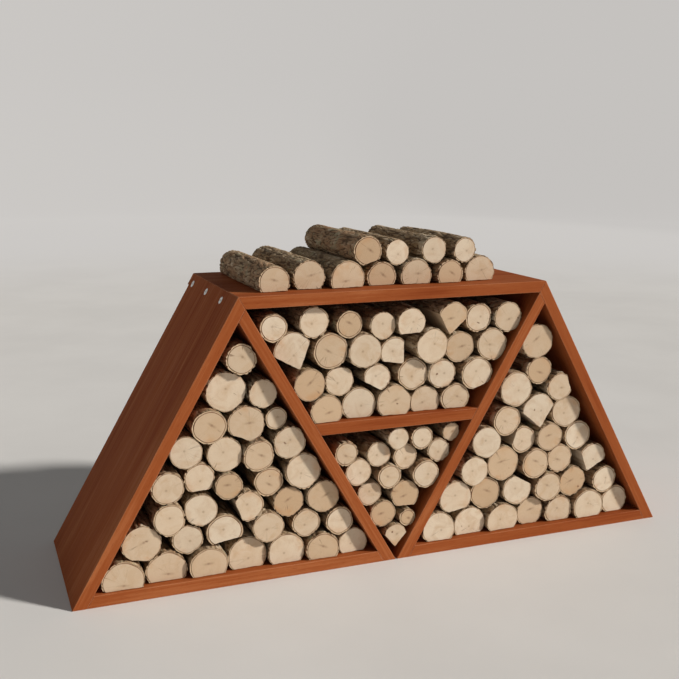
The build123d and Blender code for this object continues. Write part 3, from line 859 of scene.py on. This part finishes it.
def pale_floor():
    plaster = Finish("pale_floor")
    place = plaster.object_place()
    clouds = plaster.noise(place, 1.6, 4, 0.55)
    grain = plaster.noise(place, 240, 3, 0.6)
    colour = plaster.ramp(clouds, (0.3, FLOOR_LOW), (0.7, FLOOR_HIGH))
    away = plaster.math("DIVIDE", plaster.vector_math("LENGTH", place, output="Value"), COVE_RADIUS)
    glowing = plaster.ramp(away, (GLOW_STARTS, 0.0), (GLOW_FULL, 1.0))
    colour = plaster.blend(glowing, colour, UNLIT)
    glow = plaster.blend(glowing, (0.0, 0.0, 0.0), GLOW)
    plaster.put(plaster.shader.inputs["Emission Color"], glow)
    return plaster.finish(colour, 0.85, plaster.bump(grain, 0.0004, 0.2), Specular_IOR_Level=0.25,
                          Emission_Strength=0.9)


cove = bmesh.new()
profile = [cove.verts.new((0, 0, 0)), cove.verts.new((COVE_RADIUS - COVE_BEND, 0, 0))]
cove.edges.new(profile)
bmesh.ops.spin(cove, geom=profile[1:], cent=(COVE_RADIUS - COVE_BEND, 0, COVE_BEND), axis=(0, -1, 0),
               angle=math.radians(90), steps=12, use_merge=False)
rim = max(cove.verts, key=lambda vertex: vertex.co.z)
upright = bmesh.ops.extrude_vert_indiv(cove, verts=[rim])["verts"]
bmesh.ops.translate(cove, verts=upright, vec=(0, 0, COVE_HEIGHT - COVE_BEND))
bmesh.ops.spin(cove, geom=cove.verts[:] + cove.edges[:], cent=(0, 0, 0), axis=(0, 0, 1),
               angle=math.radians(360), steps=72, use_merge=True)
bmesh.ops.remove_doubles(cove, verts=cove.verts, dist=1e-4)
bmesh.ops.recalc_face_normals(cove, faces=cove.faces)
for face in cove.faces:
    face.smooth = True
floor_mesh = bpy.data.meshes.new("floor")
cove.to_mesh(floor_mesh)
cove.free()
floor_mesh.materials.append(pale_floor())
floor = bpy.data.objects.new("floor", floor_mesh)
bpy.context.scene.collection.objects.link(floor)
highest = max(vertex.co.z for vertex in floor_mesh.vertices)
print("floor:", len(floor_mesh.polygons), "faces, highest", round(highest, 2))


# %% [markdown]
# ## Light
# A broad sun from the right front models the log ends and leaves the left side in shade, and a
# dim pale sky fills the shadows. The sun stands high enough to pass over the cove's wall.
# %% Light
SUN_TURN = math.radians(60)     # from the front towards the right
SUN_RISE = math.radians(28)
SUN_BREADTH = math.radians(5)
SUN_STRENGTH = 3.8
SUN_COLOUR = (1.0, 0.955, 0.895)
SKY_COLOUR = (1.0, 0.985, 0.965, 1)
SKY_STRENGTH = 0.15

toward_sun = Vector((math.sin(SUN_TURN) * math.cos(SUN_RISE),
                     -math.cos(SUN_TURN) * math.cos(SUN_RISE), math.sin(SUN_RISE)))
key = bpy.data.lights.new("key", "SUN")
key.energy = SUN_STRENGTH
key.angle = SUN_BREADTH
key.color = SUN_COLOUR
key_lamp = bpy.data.objects.new("key", key)
key_lamp.rotation_euler = toward_sun.to_track_quat("Z", "Y").to_euler()
bpy.context.scene.collection.objects.link(key_lamp)

world = bpy.data.worlds.new("pale_room")
world.use_nodes = True
sky = world.node_tree.nodes["Background"]
sky.inputs["Color"].default_value = SKY_COLOUR
sky.inputs["Strength"].default_value = SKY_STRENGTH
bpy.context.scene.world = world
bpy.context.scene.view_settings.view_transform = "Standard"


# %% [markdown]
# ## Camera
# The camera stands at the left front, a little above the pile, and is set by three turns: towards
# the right, down, and a slight roll about its own line of sight.
# %% Camera
CAMERA_PLACE = (-0.912, -2.144, 0.9627)
CAMERA_TURN = math.radians(21.504)      # from straight ahead towards the right
CAMERA_DIP = math.radians(13.5)
CAMERA_ROLL = math.radians(0.303)

ahead = Vector((math.sin(CAMERA_TURN) * math.cos(CAMERA_DIP),
                math.cos(CAMERA_TURN) * math.cos(CAMERA_DIP), -math.sin(CAMERA_DIP)))
right = Vector((math.cos(CAMERA_TURN), -math.sin(CAMERA_TURN), 0))
up = right.cross(ahead)
level = Matrix((right, up, -ahead)).transposed().to_4x4()
view = bpy.data.cameras.new("view")
view.lens = 51.23
view.sensor_width = 36
view.shift_y = 0.053
view.dof.use_dof = False
camera = bpy.data.objects.new("view", view)
camera.matrix_world = Matrix.Translation(CAMERA_PLACE) @ level @ Matrix.Rotation(CAMERA_ROLL, 4, "Z")
bpy.context.scene.collection.objects.link(camera)
bpy.context.scene.camera = camera
